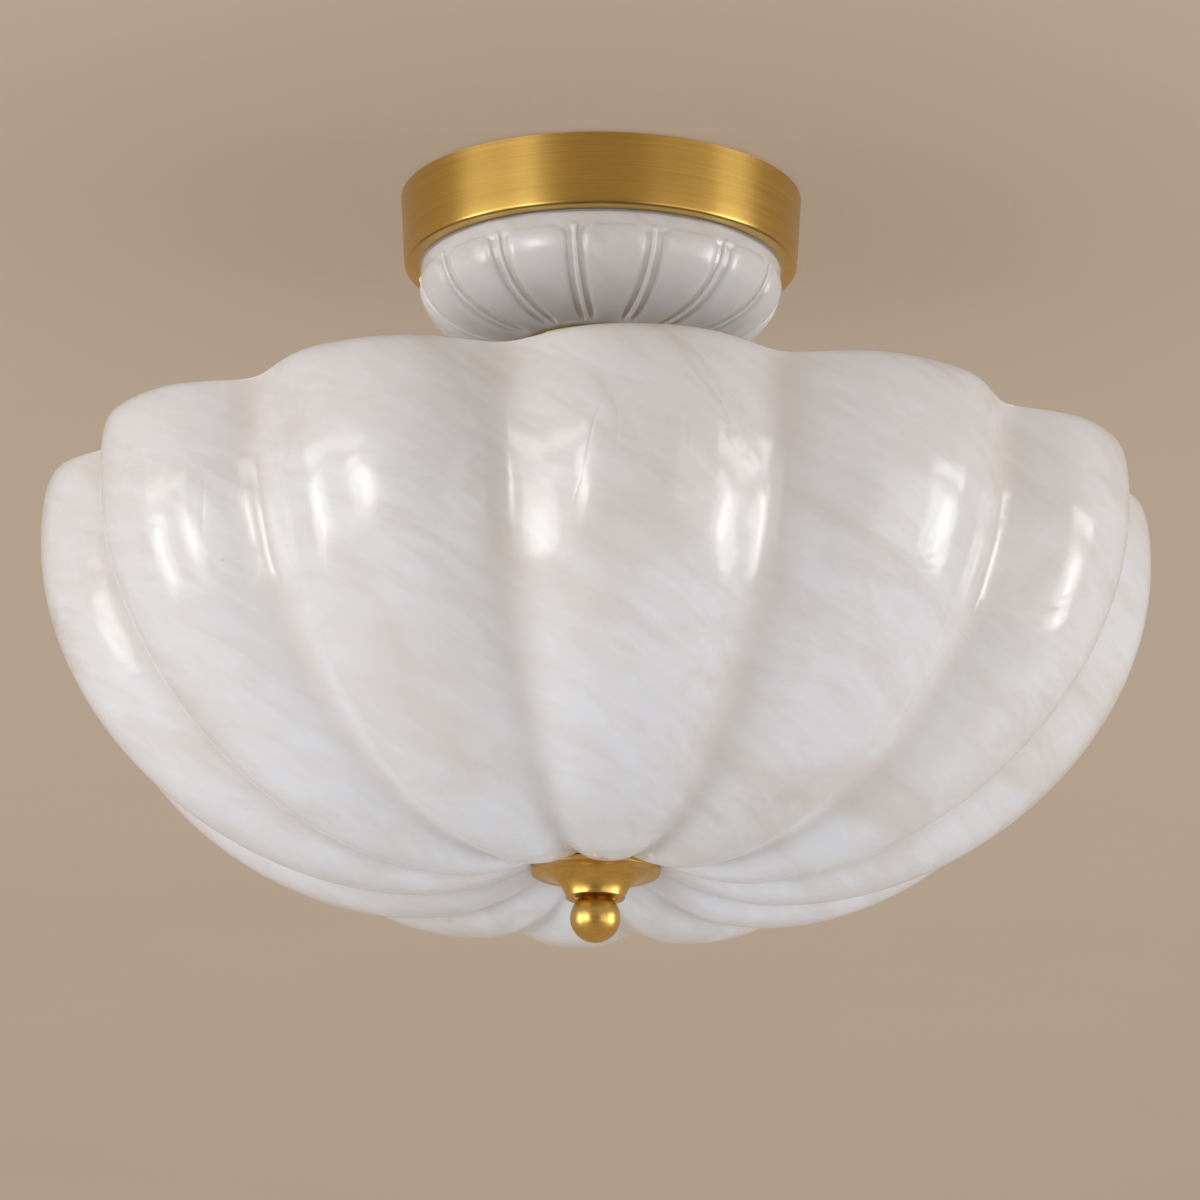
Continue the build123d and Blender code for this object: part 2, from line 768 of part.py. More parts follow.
# Bottom cap: a disc that flares down to a lip round the finial
with BuildPart() as bottom_cap:
    with BuildSketch(Plane.XZ):
        with BuildLine():
            edge_bottom = cap_top - cap_edge_height
            Polyline(
                (cap_lip_radius, cap_bottom),
                (cap_recess_radius, cap_bottom),
                (cap_recess_radius, cap_recess_top),
                (rod_radius + pad_gap, cap_recess_top),
                (rod_radius + pad_gap, cap_top),
                (cap_radius, cap_top),
                (cap_radius, edge_bottom),
                (cap_flare_radius, edge_bottom),
            )
            TangentArc((cap_flare_radius, edge_bottom), (cap_lip_radius, cap_bottom), tangent=(-1, 0))
        make_face()
    revolve(axis=Axis.Z)
bottom_cap.part.label = "bottom_cap"
export_step(bottom_cap.part, "parts/bottom_cap.step")

# Ball finial with a short neck, bored for the rod
with BuildPart() as finial_ball:
    with BuildSketch(Plane.XY.offset(ball_level)):
        Circle(ball_neck_radius)
    extrude(amount=cap_recess_top - ball_level)
    with Locations((0, 0, ball_level)):
        Sphere(ball_radius)
    with BuildSketch(Plane.XY.offset(rod_bottom - ball_blind_gap)):
        Circle(rod_radius + running_gap)
    extrude(amount=cap_recess_top - rod_bottom + ball_blind_gap, mode=Mode.SUBTRACT)
finial_ball.part.label = "finial_ball"
export_step(finial_ball.part, "parts/finial_ball.step")
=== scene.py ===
import json
from math import ceil, comb, cos, pi, radians, sin, sqrt

import bpy
from mathutils import Matrix, Vector


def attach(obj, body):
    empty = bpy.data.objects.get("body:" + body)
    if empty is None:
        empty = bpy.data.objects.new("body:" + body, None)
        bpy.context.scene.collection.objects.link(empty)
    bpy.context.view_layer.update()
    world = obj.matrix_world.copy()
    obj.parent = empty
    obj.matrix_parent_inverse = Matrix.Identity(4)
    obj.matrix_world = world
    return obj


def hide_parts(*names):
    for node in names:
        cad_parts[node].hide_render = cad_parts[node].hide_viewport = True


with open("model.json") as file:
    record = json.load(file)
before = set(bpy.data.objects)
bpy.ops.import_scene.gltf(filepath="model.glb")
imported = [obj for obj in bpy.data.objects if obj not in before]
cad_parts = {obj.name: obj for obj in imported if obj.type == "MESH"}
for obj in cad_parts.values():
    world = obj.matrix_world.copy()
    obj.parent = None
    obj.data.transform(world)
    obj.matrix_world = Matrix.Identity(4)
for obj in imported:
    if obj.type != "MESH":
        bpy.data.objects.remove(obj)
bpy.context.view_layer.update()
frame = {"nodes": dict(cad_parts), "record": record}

# Lengths are in millimetres, except those of the lamps, the ceiling and the bumps, which are in metres
mm = 0.001

# Camera, below the light and looking up at it
camera_aim = Vector((0.8 * mm, 0, -160.3 * mm))
camera_distance = 2616 * mm
camera_pitch = radians(16.43)
camera_roll = radians(0.47)
picture_width = 1200
focal_length_pixels = 6944
sensor_width = 36
nearest_seen = 0.05
furthest_seen = 60

# Bowl. A crest is the middle of a lobe, a valley lies between two lobes.
bowl_lobes = 12
lobe_phase = radians(4.8)
lobe_depth = 18
lobe_depth_rim = 12
lobe_depth_bottom = 4.8
lobe_valley_rise = 5
lobe_rim_drop = 2.4
lobe_power_shares = (0.5, 2.0, -1.5)
bowl_radius = 209.84
bowl_widest = -141.4
bowl_lowest = -275.8
bowl_lowest_radius = 64
bowl_seat = -264
bowl_seat_radius = 25
bowl_hole_radius = 6.5
bowl_wall = 9
bowl_rim_radius = 204.3
bowl_rim = -119.2
bowl_lip_width = 9.5
bowl_lip_drop = 5.5
bowl_lip_run = 6
lip_curve = 0.6
belly_curve_across = 0.49
belly_curve_down = 0.54
columns_per_lobe = 40
# Painted shade: where it starts across a lobe towards its valley, and over what share it deepens
valley_shade_start = 0.7
valley_shade_width = 0.3

# Cup. Its rounded panels lie under a plain rim band and are parted by channels with a thin bead.
cup_panels = 14
cup_phase = radians(-98.4)
cup_radius = 69.4
cup_top = -29.3
cup_bottom = -60.5
cup_flat = 30.7
cup_wall = 6
cup_band = 5
cup_curve = 0.55
cup_hole = 7.1
cup_lip_height = 0.6
cup_lip_width = 0.7
cup_lip_edge = 0.3
cup_lip_bevel = 0.2
band_level = -0.7
channel_level = -1.3
channel_half_width = 3.1
channel_least_share = 0.75
channel_added_share = 0.35
channel_widening_length = 12
channel_start_length = 2.5
channel_end_length = 7
panel_roll_width = 4
panel_corner = 5
bead_half_width = 1.0
bead_height = 1.0
bead_overlap = 1
bead_start_length = 2
bead_end_gap = 1
bead_end_length = 5
columns_per_panel = 48
even_column_share = 0.25

# Painted shade: share of beige painted on the cup's rim band, inside it and in its channels, where it grows
# with their depth
band_shade = 0.1
inside_shade = 0.6
shade_depth = 2
shade_start = 0.2

# Canopy
canopy_radius = 76.6
canopy_lower_radius = 75
canopy_height = 28.5
canopy_wall = 1.2
canopy_floor = 1.5
canopy_edge = 1.4
canopy_recess_width = 2.5
canopy_recess_depth = 0.7
canopy_top_bevel_width = 0.3
canopy_top_bevel_level = -0.8
canopy_side_heights = (27.6, 21, 14, 7, 2.2)
canopy_inner_fillet = 1.5
canopy_inner_bend = -10
canopy_inner_bend_height = 18
canopy_inner_step = 1.6

# Cap and finial
cap_top = -264.8
cap_radius = 24.2
cap_top_bevel = 0.4
cap_top_round = 0.5
cap_edge_height = 2
cap_edge_round = 0.7
cap_flare_radius = 22.5
cap_bottom = -276
cap_lip_radius = 11
cap_lip_round = 0.4
cap_lip_rise = 0.2
cap_recess_radius = 8
cap_recess_top = -272
cap_recess_bevel_width = 0.2
cap_recess_bevel_height = 0.3
cap_hole = 3.5
ball_radius = 9.4
ball_level = -283.5
ball_neck_radius = 5
ball_bore_clearance = 0.05
ball_bore_depth = 0.5

# Threaded rod and nipple
axis_radius = 0.02
rod_radius = 3
rod_bottom = -288.5
rod_top = -163
nipple_radius = 5
nipple_bore = 3.5
nipple_top = -2.5
nipple_bottom = -40
fine_pitch = 1
fine_depth = 0.45
fine_steps = 6
screw_bevel = 0.4

# Bulbs, measured outwards from the centre line. The tip's points are (radius, distance).
arm_angles = (30, 150, 270)
arm_level = -157.5
base_contact = 40
base_tip = ((1.4, base_contact), (2.2, 40.5), (2.2, 41.7), (3.2, 42.6))
base_radius = 5.9
base_pitch = 2.8
base_depth = 0.9
base_steps = 10
base_cone_end = 43.9
base_thread_start = 44.3
base_thread_end = 57.4
base_collar_radius = 7.4
base_collar_start = 57.7
base_collar_end = 63
base_collar_round = 0.5
base_collar_bevel = 0.7
base_collar_crown = 0.1
glass_neck_radius = 6.6
glass_neck_end = 69
glass_radius = 14
glass_shoulder_end = 81
glass_dome_start = 113
glass_end = 127
glass_wall = 1

# Ceiling and room
ceiling_half_size = 14
ceiling_gap = 0.4
room_light = 0.72
room_tint = (0.98, 0.99, 1.0, 1)
front_dimming = 0.55
front_start = -0.6
front_full = -0.95
ceiling_glow = 0.6

# Lamps: name, azimuth, elevation, distance, width, height and radiance
lamp_colour = (1, 0.995, 0.985)
lamps = (
    ("left_side", -76, -13, 1.7, 0.60, 0.52, 4.6),
    ("left_side_core", -76, -13, 1.69, 0.14, 0.38, 6.5),
    ("left_front", -42, -13, 1.9, 0.46, 0.50, 4.6),
    ("left_front_core", -42, -13, 1.89, 0.12, 0.38, 6.5),
    ("left_high", -60, 2.2, 1.7, 1.5, 0.12, 5),
    ("right_side", 80, -13, 1.7, 0.70, 0.54, 5),
    ("right_side_core", 80, -13, 1.69, 0.20, 0.42, 6.5),
    ("right_high", 80, 2.2, 1.7, 0.8, 0.13, 6),
    ("left_wash", -48, -15, 2.5, 1.9, 1.1, 1.25),
    ("right_wash", 48, -15, 2.5, 1.9, 1.1, 1.25),
)

# Colours, as linear values
backdrop_colour = (0.470, 0.366, 0.274, 1)
stone_white = (0.680, 0.680, 0.705, 1)
stone_beige = (0.52, 0.44, 0.375, 1)
stone_vein = (0.36, 0.28, 0.215, 1)
# Painted light: the cup's stone is the bowl's stone, painted lighter to stand in for light
lightened_cup_white = (0.755, 0.760, 0.785, 1)
brass_colour = (0.69, 0.455, 0.125, 1)
zinc_colour = (0.42, 0.43, 0.45)
rubber_colour = (0.022, 0.019, 0.016)
porcelain_colour = (0.78, 0.76, 0.71)
nickel_colour = (0.55, 0.52, 0.46)
opal_colour = (0.82, 0.81, 0.78)
empty = (0, 0, 0, 1)
full = (1, 1, 1, 1)

# Stone: how strongly each layer colours it, and its relief
milk_darkness = 0.95
milk_share = 0.55
cloud_share = 0.50
drift_share = 0.62
streak_share = 0.28
vein_share = 0.22
pit_share = 0.65
pit_scale = 90
# Share of painted shade in the hollows
painted_shade_share = 0.30
vein_width = 0.055
crack_width = 0.006
wave_height = 0.0012
crack_depth = 0.0003

# Fine relief of the brass and of the plain materials
grain_height = 0.0002


def curve_point(poles, share):
    """The place (radius, height) at a share of the way along a Bezier curve."""
    degree = len(poles) - 1
    weights = [comb(degree, n) * share**n * (1 - share) ** (degree - n) for n in range(degree + 1)]
    return tuple(sum(weight * pole[side] for weight, pole in zip(weights, poles)) for side in (0, 1))


def outline_points(outline):
    """Points along an outline, which is a list of curves, each with its number of steps."""
    points = [outline[0][0][0]]
    for poles, steps in outline:
        points += [curve_point(poles, step / steps) for step in range(1, steps + 1)]
    return points


def arc(centre, radius, start, end, steps):
    """Points (radius, height) of an arc between two angles in degrees."""
    angles = [radians(start + (end - start) * step / steps) for step in range(steps + 1)]
    return [(centre[0] + radius * cos(angle), centre[1] + radius * sin(angle)) for angle in angles]


def heights(low, high, step):
    """Evenly spaced heights, about a step apart."""
    count = ceil((high - low) / step)
    return [low + (high - low) * n / count for n in range(count + 1)]


def smooth_step(value):
    """0 below 0, 1 above 1, and an even rise between."""
    value = min(1, max(0, value))
    return value * value * (3 - 2 * value)


def turns_around(segments):
    """Evenly spaced angles of a full turn."""
    return [2 * pi * segment / segments for segment in range(segments)]


def grid_object(name, rows, smooth_angle):
    """Mesh object from rows of points in millimetres. The rows and the columns close on themselves."""
    columns = len(rows[0])
    points = [tuple(value * mm for value in point) for row in rows for point in row]
    faces = []
    for row in range(len(rows)):
        start = row * columns
        next_start = (row + 1) % len(rows) * columns
        for column in range(columns):
            beside = (column + 1) % columns
            faces.append((start + column, start + beside, next_start + beside, next_start + column))
    mesh = bpy.data.meshes.new(name)
    mesh.from_pydata(points, [], faces)
    mesh.shade_smooth()
    mesh.set_sharp_from_angle(angle=radians(smooth_angle))
    mesh.validate()
    piece = bpy.data.objects.new(name, mesh)
    bpy.context.scene.collection.objects.link(piece)
    return piece


def lathe(name, outline, segments, place=Matrix.Identity(4)):
    """Turned piece from an outline of (radius, height) points."""
    turns = turns_around(segments)
    rows = []
    for radius, height in outline:
        rows.append([(radius * cos(turn), radius * sin(turn), height) for turn in turns])
    piece = grid_object(name, rows, smooth_angle=35)
    piece.data.transform(place)
    return piece


def screwed_piece(name, outline, segments, low, high, pitch, depth, place=Matrix.Identity(4)):
    """Turned piece with a helical thread, cut between a low and a high end and fading out at both."""
    turns = turns_around(segments)
    rows = []
    for radius, height in outline:
        room = min(height - low, high - height) / pitch
        deep = depth * min(1, max(0, room))
        row = []
        for turn in turns:
            out = radius - deep * (0.5 - 0.5 * cos(2 * pi * height / pitch - turn))
            row.append((out * cos(turn), out * sin(turn), height))
        rows.append(row)
    piece = grid_object(name, rows, smooth_angle=60)
    piece.data.transform(place)
    return piece


def outward_faces(piece):
    """Turns every face so that the closed mesh has a positive volume."""
    mesh = piece.data
    volume = 0
    for face in mesh.polygons:
        corners = [mesh.vertices[index].co for index in face.vertices]
        for second, third in zip(corners[1:], corners[2:]):
            volume += corners[0].dot(second.cross(third))
    if volume < 0:
        mesh.flip_normals()


def finish_piece(piece, body, material, node):
    """Gives a piece its body, its material and the node that it stands for."""
    outward_faces(piece)
    piece.data.materials.append(material)
    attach(piece, body)
    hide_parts(node)


def paint_shade_in_hollows(piece, shares):
    """Stores on each point of a mesh how far it lies in a hollow, where painted shade darkens the stone's
    colour.
    """
    piece.data.attributes.new("painted_shade", "FLOAT", "POINT").data.foreach_set("value", shares)


def set_input(tree, node, index, value):
    """Sets a node's input to a plain value or links it to another node's output."""
    if isinstance(value, bpy.types.NodeSocket):
        tree.links.new(value, node.inputs[index])
    else:
        node.inputs[index].default_value = value


def add_node(tree, kind, inputs=None, **settings):
    """Adds a shader node with its settings and its inputs."""
    node = tree.nodes.new("ShaderNode" + kind)
    for name, value in settings.items():
        setattr(node, name, value)
    for index, value in (inputs or {}).items():
        set_input(tree, node, index, value)
    return node


def new_material(name, **values):
    """Material with a Principled shader whose sockets have the given values."""
    material = bpy.data.materials.new(name)
    material.use_nodes = True
    shader = material.node_tree.nodes["Principled BSDF"]
    for socket, value in values.items():
        shader.inputs[socket.replace("_", " ")].default_value = value
    return material, material.node_tree, shader


def ramp(tree, factor, stops):
    """Colour ramp through (position, colour) stops."""
    node = add_node(tree, "ValToRGB", {"Fac": factor})
    elements = node.color_ramp.elements
    for element, (position, colour) in zip(elements, stops, strict=True):
        element.position = position
        element.color = colour
    return node.outputs["Color"]


def mix(tree, factor, first, second):
    """Mix of two colours."""
    return add_node(tree, "Mix", {0: factor, 6: first, 7: second}, data_type="RGBA").outputs[2]


def arithmetic(tree, operation, first, second=0.0):
    """Math node on one or two values."""
    return add_node(tree, "Math", {0: first, 1: second}, operation=operation).outputs[0]


def multiply(tree, first, second):
    """Product of two values."""
    return arithmetic(tree, "MULTIPLY", first, second)


def blend(tree, colour, mask, share, other):
    """The colour, moved towards another one by a share of a mask."""
    return mix(tree, multiply(tree, mask, share), colour, other)


def noise(tree, vector, scale, detail=3.0, distortion=0.0, roughness=0.5):
    """Noise texture, as its value between 0 and 1."""
    inputs = {
        "Vector": vector,
        "Scale": scale,
        "Detail": detail,
        "Distortion": distortion,
        "Roughness": roughness,
    }
    return add_node(tree, "TexNoise", inputs).outputs["Fac"]


def mask(tree, value, low, high):
    """0 where a value is under the low end, 1 where it is over the high one."""
    return ramp(tree, value, [(low, empty), (high, full)])


def line_distance(tree, value, level):
    """How far a value is from a level. Near 0 it follows a winding line."""
    return arithmetic(tree, "ABSOLUTE", arithmetic(tree, "SUBTRACT", value, level))


def streaked(tree, vector, turn, along, across):
    """The place, turned and stretched, so that a noise on it makes streaks."""
    size = (1 / along, 1 / along, 1 / across)
    inputs = {"Vector": vector, "Rotation": turn, "Scale": size}
    return add_node(tree, "Mapping", inputs, vector_type="TEXTURE").outputs["Vector"]


def bump(tree, height, strength, distance, **more):
    """Bump from a height, which may add to the relief given as Normal."""
    inputs = {"Height": height, "Strength": strength, "Distance": distance, **more}
    return add_node(tree, "Bump", inputs).outputs[0]


def roughness_range(tree, shader, value, low, high):
    """Lets a shader's roughness follow a value, between two ends."""
    node = add_node(tree, "MapRange", {"Value": value, "To Min": low, "To Max": high})
    tree.links.new(node.outputs["Result"], shader.inputs["Roughness"])


def scaled_colour(colour, factor):
    """A colour times a factor, up to 1."""
    return tuple(min(1, value * factor) for value in colour[:3]) + (1,)


def stone_colour(tree, place, white, cloudy):
    """Milky white with beige clouds and slanting streaks, soft veins, a few pits and painted shade in the
    hollows.
    """
    broad_slant = streaked(tree, place, turn=(0.2, 0.47, 0.3), along=8, across=26)
    fine_slant = streaked(tree, place, turn=(0.1, 0.50, 0.2), along=30, across=150)
    milk_noise = noise(tree, place, scale=15, detail=5, distortion=1.2, roughness=0.6)
    milk = mask(tree, milk_noise, 0.40, 0.70)
    colour = blend(tree, scaled_colour(white, milk_darkness), milk, milk_share, white)
    cloud_noise = noise(tree, place, scale=9, detail=4, distortion=0.6)
    cloud = mask(tree, cloud_noise, 0.46, 0.76)
    colour = blend(tree, colour, cloud, cloud_share * cloudy, stone_beige)
    drift_noise = noise(tree, broad_slant, scale=1, detail=7, distortion=0.8, roughness=0.62)
    drift = mask(tree, drift_noise, 0.50, 0.74)
    colour = blend(tree, colour, drift, drift_share * cloudy, stone_beige)
    streak_noise = noise(tree, fine_slant, scale=1, detail=4, distortion=0.6, roughness=0.6)
    streak = mask(tree, streak_noise, 0.40, 0.75)
    colour = blend(tree, colour, streak, streak_share * cloudy, stone_beige)
    vein_noise = noise(tree, broad_slant, scale=1.3, detail=4, distortion=0.5, roughness=0.6)
    vein = ramp(tree, line_distance(tree, vein_noise, 0.52), [(0, full), (vein_width, empty)])
    vein_area = mask(tree, noise(tree, place, scale=8, detail=2), 0.52, 0.66)
    colour = blend(tree, colour, multiply(tree, vein, vein_area), vein_share, stone_vein)
    cells = add_node(tree, "TexVoronoi", {"Vector": place, "Scale": pit_scale}).outputs
    speck = ramp(tree, cells["Distance"], [(0.03, full), (0.07, empty)])
    pit = multiply(tree, speck, mask(tree, cells["Color"], 0.84, 0.86))
    colour = blend(tree, colour, pit, pit_share, stone_vein)
    # Painted shade: beige darkening in the bowl's valleys and in the cup's channels and inside
    painted_shade = add_node(tree, "Attribute", attribute_name="painted_shade").outputs["Fac"]
    return blend(tree, colour, painted_shade, painted_shade_share, stone_beige)


def stone_relief(tree, place, wavy):
    """Slight waves of the polish, with a few fine upright cracks."""
    wave_noise = noise(tree, place, scale=30, detail=3, distortion=0.4)
    wave = bump(tree, wave_noise, strength=wavy, distance=wave_height)
    upright = streaked(tree, place, turn=(0.1, 0.15, 0), along=30, across=7)
    crack_noise = noise(tree, upright, scale=0.7, detail=1, distortion=0.3)
    crack = mask(tree, line_distance(tree, crack_noise, 0.5), 0, crack_width)
    crack_area = mask(tree, noise(tree, place, scale=11, detail=2), 0.60, 0.66)
    return bump(tree, mix(tree, crack_area, full, crack), strength=0.4, distance=crack_depth, Normal=wave)


def stone_material(name, white, cloudy, wavy, depth):
    """Polished pale stone, into which the light sinks a little."""
    material, tree, shader = new_material(
        name,
        Subsurface_Weight=depth,
        Subsurface_Radius=(1.0, 0.85, 0.7),
        Subsurface_Scale=0.005,
        IOR=1.47,
    )
    place = add_node(tree, "TexCoord").outputs["Object"]
    tree.links.new(stone_colour(tree, place, white, cloudy), shader.inputs["Base Color"])
    roughness_range(tree, shader, noise(tree, place, scale=30, detail=4), low=0.10, high=0.22)
    tree.links.new(stone_relief(tree, place, wavy), shader.inputs["Normal"])
    return material


def brass_material(name, grain_scale, roughness, brushed=0.0):
    """Satin brass with fine lines, whose direction is set by the grain scale. Brushed brass spreads its
    highlights across its circular lines."""
    material, tree, shader = new_material(name, Metallic=1.0, Anisotropic=brushed, Anisotropic_Rotation=0.25)
    place = add_node(tree, "TexCoord").outputs["Object"]
    grain = add_node(tree, "Mapping", {"Vector": place, "Scale": grain_scale})
    lines = noise(tree, grain.outputs["Vector"], scale=1, detail=5, roughness=0.7)
    darker = scaled_colour(brass_colour, 0.84)
    brighter = scaled_colour(brass_colour, 1.12)
    colour = mix(tree, mask(tree, lines, 0.3, 0.7), darker, brighter)
    colour = blend(tree, colour, noise(tree, place, scale=24), 0.2, darker)
    tree.links.new(colour, shader.inputs["Base Color"])
    roughness_range(tree, shader, lines, low=roughness - 0.05, high=roughness + 0.08)
    tree.links.new(bump(tree, lines, strength=0.08, distance=grain_height), shader.inputs["Normal"])
    if brushed:
        around = add_node(tree, "Tangent", direction_type="RADIAL", axis="Z")
        tree.links.new(around.outputs[0], shader.inputs["Tangent"])
    return material


def plain_material(name, colour, scale, spread, **values):
    """Simple surface whose colour and roughness vary a little with a noise."""
    material, tree, shader = new_material(name, **values)
    place = add_node(tree, "TexCoord").outputs["Object"]
    value = noise(tree, place, scale, detail=4)
    varied = mix(tree, value, scaled_colour(colour, 1 - spread), scaled_colour(colour, 1 + spread))
    tree.links.new(varied, shader.inputs["Base Color"])
    rough = shader.inputs["Roughness"].default_value
    roughness_range(tree, shader, value, low=rough * 0.85, high=min(1, rough * 1.2))
    tree.links.new(bump(tree, value, strength=0.15, distance=grain_height), shader.inputs["Normal"])
    return material


stone = stone_material("polished_stone", stone_white, cloudy=1.0, wavy=0.9, depth=0.2)
# The bowl's stone, painted lighter on the cup as painted light
lightened_cup_stone = stone_material("cup_stone_painted_lighter", lightened_cup_white, cloudy=0.6, wavy=0.2, depth=0.7)
brass_round = brass_material("brass_brushed_round", (14, 14, 2600), roughness=0.30, brushed=0.75)
brass_plain = brass_material("brass_satin", (160, 160, 900), roughness=0.31)
zinc = plain_material(
    "zinc_plated_steel", zinc_colour, scale=120, spread=0.15, Metallic=1.0, Roughness=0.34
)
rubber = plain_material("gasket_rubber", rubber_colour, scale=300, spread=0.3, Roughness=0.75)
porcelain = plain_material(
    "glazed_porcelain", porcelain_colour, scale=40, spread=0.04, Roughness=0.12, Coat_Weight=0.4
)
nickel = plain_material(
    "nickel_shell", nickel_colour, scale=150, spread=0.12, Metallic=1.0, Roughness=0.22
)
opal = plain_material(
    "opal_glass",
    opal_colour,
    scale=60,
    spread=0.03,
    Roughness=0.10,
    Subsurface_Weight=0.3,
    Subsurface_Scale=0.004,
)

slot_materials = {
    "brass": brass_plain,
    "alabaster": stone,
    "zinc_steel": zinc,
    "gasket_rubber": rubber,
    "porcelain": porcelain,
    "nickel": nickel,
    "opal_glass": opal,
}


def paint_nodes():
    """Gives each node of the frame the material of its slot."""
    for part in frame["record"]["subparts"]:
        node = frame["nodes"][part["node"]]
        node.data.materials.clear()
        node.data.materials.append(slot_materials[part["material_slot"]])


def bowl_outline(share):
    """Outline of the bowl's wall on a crest, where the share is 0, or in a valley, where it is 1."""
    belly = bowl_radius - lobe_depth * share
    low = bowl_lowest + lobe_depth_bottom * share
    widest = bowl_widest + lobe_valley_rise * share
    rim_radius = bowl_rim_radius - lobe_depth_rim * share
    rim = bowl_rim - lobe_rim_drop * share
    lip_radius = rim_radius - bowl_lip_width
    lip = rim - bowl_lip_drop
    inner_belly = belly - bowl_wall
    inner_low = low + bowl_wall
    floor = bowl_seat + bowl_wall
    dimple = (bowl_seat_radius + bowl_lowest_radius) / 2
    fall = belly_curve_down * (widest - low)
    inner_fall = belly_curve_down * (widest - inner_low)
    reach = bowl_lowest_radius + belly_curve_across * (belly - bowl_lowest_radius)
    inner_reach = bowl_lowest_radius + belly_curve_across * (inner_belly - bowl_lowest_radius)
    seat = [(bowl_hole_radius, bowl_seat), (bowl_seat_radius, bowl_seat)]
    outer_dimple = [(bowl_seat_radius, bowl_seat), (dimple, low), (bowl_lowest_radius, low)]
    outer_wall = [(bowl_lowest_radius, low), (reach, low), (belly, widest - fall), (belly, widest)]
    shoulder = [
        (belly, widest),
        (belly, widest + lip_curve * (rim - widest)),
        (rim_radius + lip_curve * (belly - rim_radius), rim),
        (rim_radius, rim),
    ]
    rim_round = [
        (rim_radius, rim),
        (rim_radius - lip_curve * bowl_lip_width, rim),
        (lip_radius, lip + lip_curve * bowl_lip_drop),
        (lip_radius, lip),
    ]
    inner_shoulder = [
        (lip_radius, lip),
        (lip_radius, lip - bowl_lip_run),
        (inner_belly, widest + bowl_lip_run),
        (inner_belly, widest),
    ]
    inner_wall = [
        (inner_belly, widest),
        (inner_belly, widest - inner_fall),
        (inner_reach, inner_low),
        (bowl_lowest_radius, inner_low),
    ]
    inner_dimple = [(bowl_lowest_radius, inner_low), (dimple, inner_low), (bowl_seat_radius, floor)]
    inner_seat = [(bowl_seat_radius, floor), (bowl_hole_radius, floor)]
    hole = [(bowl_hole_radius, floor), (bowl_hole_radius, bowl_seat)]
    return [
        (seat, 3),
        (outer_dimple, 14),
        (outer_wall, 70),
        (shoulder, 20),
        (rim_round, 12),
        (inner_shoulder, 8),
        (inner_wall, 44),
        (inner_dimple, 10),
        (inner_seat, 3),
        (hole, 2),
    ]


def bowl_piece():
    """The lobed bowl. Each column blends the outlines of a crest and a valley."""
    half = pi / bowl_lobes
    crest = outline_points(bowl_outline(0))[:-1]
    valley = outline_points(bowl_outline(1))[:-1]
    columns = []
    for column in range(columns_per_lobe):
        share = 2 * column / columns_per_lobe - 1
        fade = sum(part * share ** (2 * power) for power, part in enumerate(lobe_power_shares, 1))
        columns.append((share, fade))
    rows = []
    painted_shade = []
    for high, low in zip(crest, valley):
        row = []
        for lobe in range(bowl_lobes):
            turn = lobe_phase - pi / 2 + 2 * half * lobe
            for share, fade in columns:
                out = high[0] - (high[0] - low[0]) * fade - low[0] * (1 - cos(half)) * share**2
                side = low[0] * sin(half) * share
                height = high[1] + (low[1] - high[1]) * fade
                row.append((out * cos(turn) - side * sin(turn), out * sin(turn) + side * cos(turn), height))
                # Painted shade, deepening towards the middle of each valley
                painted_shade.append(max(0, fade - valley_shade_start) / valley_shade_width)
        rows.append(row)
    piece = grid_object("bowl_shade", rows, smooth_angle=40)
    paint_shade_in_hollows(piece, painted_shade)
    finish_piece(piece, "shade", stone, "bowl")


def panel_level(below_band, beside, to_flat):
    """Level of the cup's surface under its outline, from the distances to the rim band, to the middle of
    the nearest channel and to the flat bottom."""
    floor = band_level + (channel_level - band_level) * smooth_step(below_band / channel_start_length)
    floor *= smooth_step(to_flat / channel_end_length)
    widening = channel_added_share * smooth_step(to_flat / channel_widening_length)
    side = beside - channel_half_width * (channel_least_share + widening)
    if side < panel_corner and below_band < panel_corner:
        inside = panel_corner - sqrt((panel_corner - side) ** 2 + (panel_corner - below_band) ** 2)
    else:
        inside = min(side, below_band)
    roll = 0
    if inside > 0 and below_band > 0:
        share = min(1, inside / panel_roll_width)
        roll = sqrt(1 - (1 - share) ** 2)
    bead = 0
    if beside < bead_half_width:
        bead = bead_height * sqrt(1 - (beside / bead_half_width) ** 2)
        bead *= smooth_step((below_band + bead_overlap) / bead_start_length)
        bead *= smooth_step((to_flat - bead_end_gap) / bead_end_length)
    return floor * (1 - roll) + bead


def cup_outlines():
    """Points of the cup's fluted outside, and those of its plain bottom, inside and lip."""
    band = cup_top - cup_band
    inner_radius = cup_radius - cup_wall
    inner_floor = cup_bottom + cup_wall
    lip = cup_top + cup_lip_height
    lip_radius = cup_radius - cup_lip_width
    flute = [
        (cup_radius, band),
        (cup_radius, band - cup_curve * (band - cup_bottom)),
        (cup_flat + cup_curve * (cup_radius - cup_flat), cup_bottom),
        (cup_flat, cup_bottom),
    ]
    inner = [
        (cup_flat, inner_floor),
        (cup_flat + cup_curve * (inner_radius - cup_flat), inner_floor),
        (inner_radius, band - cup_curve * (band - inner_floor)),
        (inner_radius, band),
    ]
    fluted = outline_points([([(cup_radius, lip - cup_lip_edge), (cup_radius, band)], 10), (flute, 90)])
    plain = outline_points(
        [
            ([(cup_flat, cup_bottom), (cup_hole, cup_bottom)], 4),
            ([(cup_hole, cup_bottom), (cup_hole, inner_floor)], 2),
            ([(cup_hole, inner_floor), (cup_flat, inner_floor)], 3),
            (inner, 16),
            ([(inner_radius, band), (inner_radius, cup_top)], 2),
            ([(inner_radius, cup_top), (lip_radius, cup_top)], 2),
            ([(lip_radius, cup_top), (lip_radius, lip), (cup_radius - cup_lip_bevel, lip)], 3),
        ]
    )[1:]
    return fluted, plain


